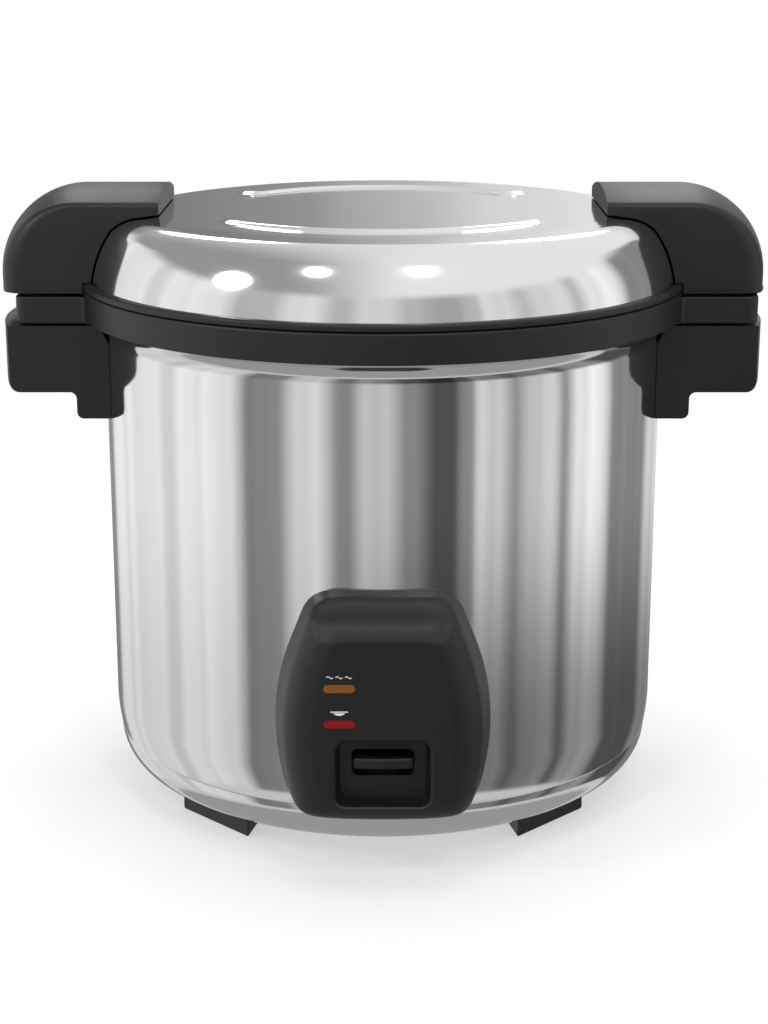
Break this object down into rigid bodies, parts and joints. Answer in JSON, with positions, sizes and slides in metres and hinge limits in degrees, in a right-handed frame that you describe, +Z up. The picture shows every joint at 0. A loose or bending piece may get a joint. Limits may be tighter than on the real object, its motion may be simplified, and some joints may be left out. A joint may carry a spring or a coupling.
{
  "type": "rice cooker",
  "caption": "Round steel rice cooker with a hinged lid, loose inner pot on a heater plate, sprung thermostat, front cook switch and black side handles.",
  "frame": {"origin": "on the ground, below the axis of the pot", "axes": "+Z up along the pot's axis, front with the switch towards -Y, lid hinge towards +X"},
  "size_m": [0.466, 0.3925, 0.3786],
  "materials": {
    "polished_steel": "mirror-polished stainless steel",
    "plain_steel": "plain drawn steel",
    "black_plastic": "satin black moulding",
    "pot_aluminium": "spun, satin",
    "cast_aluminium": "as cast, machined on top",
    "heater_foil": "foil-faced heating strip",
    "silicone": "translucent silicone",
    "amber_lens": "tinted lens",
    "red_lens": "tinted lens",
    "white_plastic": "moulded insulator",
    "lamp_glass": "neon tube",
    "magnet": "sintered magnet on a steel rod"
  },
  "bodies": {
    "housing": {"outer_shell": "polished_steel", "base_pan": "polished_steel", "feet": "black_plastic", "foot_screws": "plain_steel", "support_posts": "plain_steel", "post_screws": "plain_steel", "top_collar": "black_plastic", "left_handle_bracket": "black_plastic", "right_handle_bracket": "black_plastic", "bracket_screws": "plain_steel", "inner_liner": "plain_steel", "band_heater": "heater_foil", "heater_plate": "cast_aluminium", "heater_screws": "plain_steel", "thermostat_housing": "plain_steel", "lever_bracket": "plain_steel", "lever_pin": "plain_steel", "micro_switch": "black_plastic", "control_cover": "black_plastic", "cover_screws": "plain_steel", "keep_warm_lens": "amber_lens", "cooking_lens": "red_lens", "lamp_holder": "white_plastic", "indicator_lamps": "lamp_glass", "cord_gland": "black_plastic", "gland_nut": "black_plastic", "terminal_block": "white_plastic", "hinge_pin": "plain_steel"},
    "lid": {"lid_outer": "polished_steel", "lid_rim": "black_plastic", "lid_liner": "plain_steel", "lid_gasket": "silicone", "lid_handle_left": "black_plastic", "lid_handle_right": "black_plastic", "lid_handle_screws": "plain_steel"},
    "pot": {"inner_pot": "pot_aluminium"},
    "lever": {"switch_lever": "plain_steel", "switch_key": "black_plastic"},
    "plunger": {"magnet_plunger": "magnet"},
    "sensor": {"sensor_cup": "cast_aluminium"}
  },
  "joints": [
    {"name": "lid_hinge", "type": "hinge", "parent": "housing", "child": "lid", "pos_m": [0.2295, 0, 0.3174], "axis": [0, 1, 0], "range_deg": [0, 95]},
    {"name": "switch_press", "type": "hinge", "parent": "housing", "child": "lever", "pos_m": [0, -0.104, 0.043], "axis": [1, 0, 0], "range_deg": [0, 3.2]},
    {"name": "magnet_lift", "type": "slide", "parent": "housing", "child": "plunger", "axis": [0, 0, 1], "range_m": [0, 0.0059]},
    {"name": "sensor_press", "type": "slide", "parent": "housing", "child": "sensor", "axis": [0, 0, 1], "range_m": [-0.002, 0], "stiffness_N_per_m": 500, "springref_m": 0.004},
    {"name": "pot_turn", "type": "hinge", "parent": "housing", "child": "pot", "pos_m": [0, 0, 0.0973], "axis": [0, 0, 1], "continuous": true}
  ],
  "couplings": [
    {"joint": "magnet_lift", "follows": "switch_press", "m_per_rad": 0.104}
  ]
}
